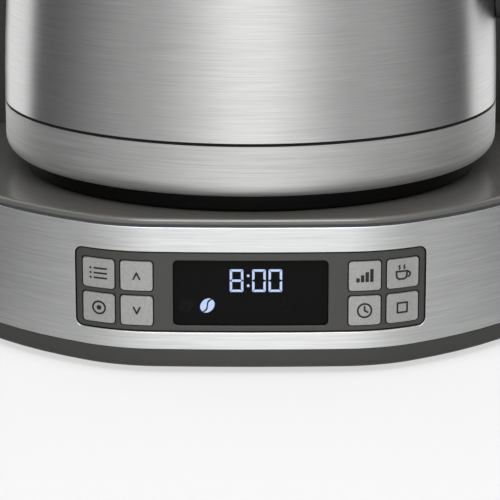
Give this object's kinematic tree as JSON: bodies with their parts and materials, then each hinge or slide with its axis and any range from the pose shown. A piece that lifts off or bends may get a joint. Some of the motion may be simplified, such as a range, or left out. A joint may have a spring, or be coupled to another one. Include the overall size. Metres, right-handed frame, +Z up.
{
  "type": "drip coffee maker",
  "caption": "Drip coffee maker with a steel vacuum carafe on a base with a front control panel, a rear water tank, a hinged lid and a swing-out filter holder.",
  "frame": {"origin": "on the table, in the middle of the width and depth", "axes": "+Z up, -Y is the front with the control panel, +X is the side of the carafe handle and the water level window"},
  "size_m": [0.224, 0.29, 0.344],
  "materials": {
    "rubber": "matt black",
    "dark_plastic": "fine satin texture, dark warm grey",
    "bright_steel": "zinc plated, bright",
    "brushed_band": "fine horizontal brushing",
    "graphite_plastic": "satin, warm grey",
    "display_glass": "smoked gloss window",
    "lcd": "liquid crystal module",
    "circuit_board": "green solder resist",
    "switch_plastic": "black switch body",
    "button_silver": "warm silver satin",
    "cast_aluminium": "extruded, dull",
    "silicone": "translucent white silicone",
    "natural_plastic": "natural nylon",
    "tank_plastic": "smoke tinted",
    "clear_plastic": "clear",
    "float_red": "red",
    "black_plastic": "satin black",
    "liner_steel": "satin drawn steel",
    "seal_red": "food silicone",
    "lever_silver": "silver lacquer"
  },
  "bodies": {
    "machine": {"rubber_feet": "rubber", "base_pan": "dark_plastic", "base_screws": "bright_steel", "steel_band": "brushed_band", "rear_cover": "dark_plastic", "cord_gland": "rubber", "base_top": "graphite_plastic", "seat_pad": "rubber", "control_bezel": "graphite_plastic", "display_window": "display_glass", "lcd_module": "lcd", "control_board": "circuit_board", "tact_switches": "switch_plastic", "board_screws": "bright_steel", "water_heater": "cast_aluminium", "heater_bracket": "bright_steel", "thermal_cutouts": "switch_plastic", "inlet_hose": "silicone", "check_valve": "natural_plastic", "outlet_hose": "silicone", "riser_tube": "silicone", "column_housing": "dark_plastic", "column_skin": "brushed_band", "water_tank": "tank_plastic", "level_window": "clear_plastic", "sight_tube": "clear_plastic", "head_cap": "graphite_plastic", "head_band": "brushed_band", "lid_hinge_pins": "bright_steel", "shower_plate": "black_plastic", "hinge_bracket": "dark_plastic", "holder_hinge_pin": "bright_steel"},
    "carafe": {"carafe_foot": "black_plastic", "carafe_base_band": "brushed_band", "carafe_shell": "brushed_band", "carafe_liner": "liner_steel", "carafe_collar": "black_plastic", "carafe_handle": "black_plastic", "handle_screws": "bright_steel"},
    "carafe_lid_body": {"carafe_lid": "black_plastic", "lid_gasket": "seal_red", "lever_pin": "bright_steel"},
    "lever": {"pour_lever": "lever_silver"},
    "valve": {"pour_valve": "seal_red"},
    "lid": {"tank_lid": "graphite_plastic"},
    "holder": {"filter_holder": "dark_plastic", "holder_skin": "brushed_band", "filter_basket": "black_plastic", "drip_spring": "bright_steel"},
    "dripper": {"drip_valve": "black_plastic"},
    "float": {"level_float": "float_red"},
    "button_menu_cap": {"button_menu": "button_silver"},
    "button_set_cap": {"button_set": "button_silver"},
    "button_up_cap": {"button_up": "button_silver"},
    "button_down_cap": {"button_down": "button_silver"},
    "button_strength_cap": {"button_strength": "button_silver"},
    "button_timer_cap": {"button_timer": "button_silver"},
    "button_brew_cap": {"button_brew": "button_silver"},
    "button_stop_cap": {"button_stop": "button_silver"}
  },
  "joints": [
    {"name": "press_menu", "type": "slide", "parent": "machine", "child": "button_menu_cap", "axis": [0, 1, 0], "range_m": [0, 0.0008], "stiffness_N_per_m": 1500},
    {"name": "press_set", "type": "slide", "parent": "machine", "child": "button_set_cap", "axis": [0, 1, 0], "range_m": [0, 0.0008], "stiffness_N_per_m": 1500},
    {"name": "press_up", "type": "slide", "parent": "machine", "child": "button_up_cap", "axis": [0, 1, 0], "range_m": [0, 0.0008], "stiffness_N_per_m": 1500},
    {"name": "press_down", "type": "slide", "parent": "machine", "child": "button_down_cap", "axis": [0, 1, 0], "range_m": [0, 0.0008], "stiffness_N_per_m": 1500},
    {"name": "press_strength", "type": "slide", "parent": "machine", "child": "button_strength_cap", "axis": [0, 1, 0], "range_m": [0, 0.0008], "stiffness_N_per_m": 1500},
    {"name": "press_timer", "type": "slide", "parent": "machine", "child": "button_timer_cap", "axis": [0, 1, 0], "range_m": [0, 0.0008], "stiffness_N_per_m": 1500},
    {"name": "press_brew", "type": "slide", "parent": "machine", "child": "button_brew_cap", "axis": [0, 1, 0], "range_m": [0, 0.0008], "stiffness_N_per_m": 1500},
    {"name": "press_stop", "type": "slide", "parent": "machine", "child": "button_stop_cap", "axis": [0, 1, 0], "range_m": [0, 0.0008], "stiffness_N_per_m": 1500},
    {"name": "tank_lid_hinge", "type": "hinge", "parent": "machine", "child": "lid", "pos_m": [0, 0.122, 0.3412], "axis": [-1, 0, 0], "range_deg": [0, 95]},
    {"name": "holder_swing", "type": "hinge", "parent": "machine", "child": "holder", "pos_m": [-0.103, -0.01, 0.257], "axis": [0, 0, -1], "range_deg": [0, 95]},
    {"name": "drip_valve_lift", "type": "slide", "parent": "holder", "child": "dripper", "axis": [0, 0, 1], "range_m": [0, 0.003], "stiffness_N_per_m": 120, "springref_m": -0.003, "deforming": ["drip_spring"]},
    {"name": "float_rise", "type": "slide", "parent": "machine", "child": "float", "axis": [0, 0, 1], "range_m": [0, 0.155]},
    {"name": "carafe_slide", "type": "slide", "parent": "machine", "child": "carafe", "axis": [0, -1, 0], "range_m": [0, 0.2]},
    {"name": "carafe_lid_twist", "type": "hinge", "parent": "carafe", "child": "carafe_lid_body", "pos_m": [0, -0.0632, 0.205], "axis": [0, 0, 1], "range_deg": [0, 50]},
    {"name": "lever_press", "type": "hinge", "parent": "carafe_lid_body", "child": "lever", "pos_m": [0.014, -0.0632, 0.207], "axis": [0, 1, 0], "range_deg": [0, 5], "stiffness_Nm_per_rad": 1.2, "springref_deg": -5.73},
    {"name": "pour_valve_lift", "type": "slide", "parent": "carafe_lid_body", "child": "valve", "axis": [0, 0, 1], "range_m": [0, 0.0034]}
  ],
  "couplings": [
    {"joint": "pour_valve_lift", "follows": "lever_press", "m_per_rad": 0.038}
  ]
}
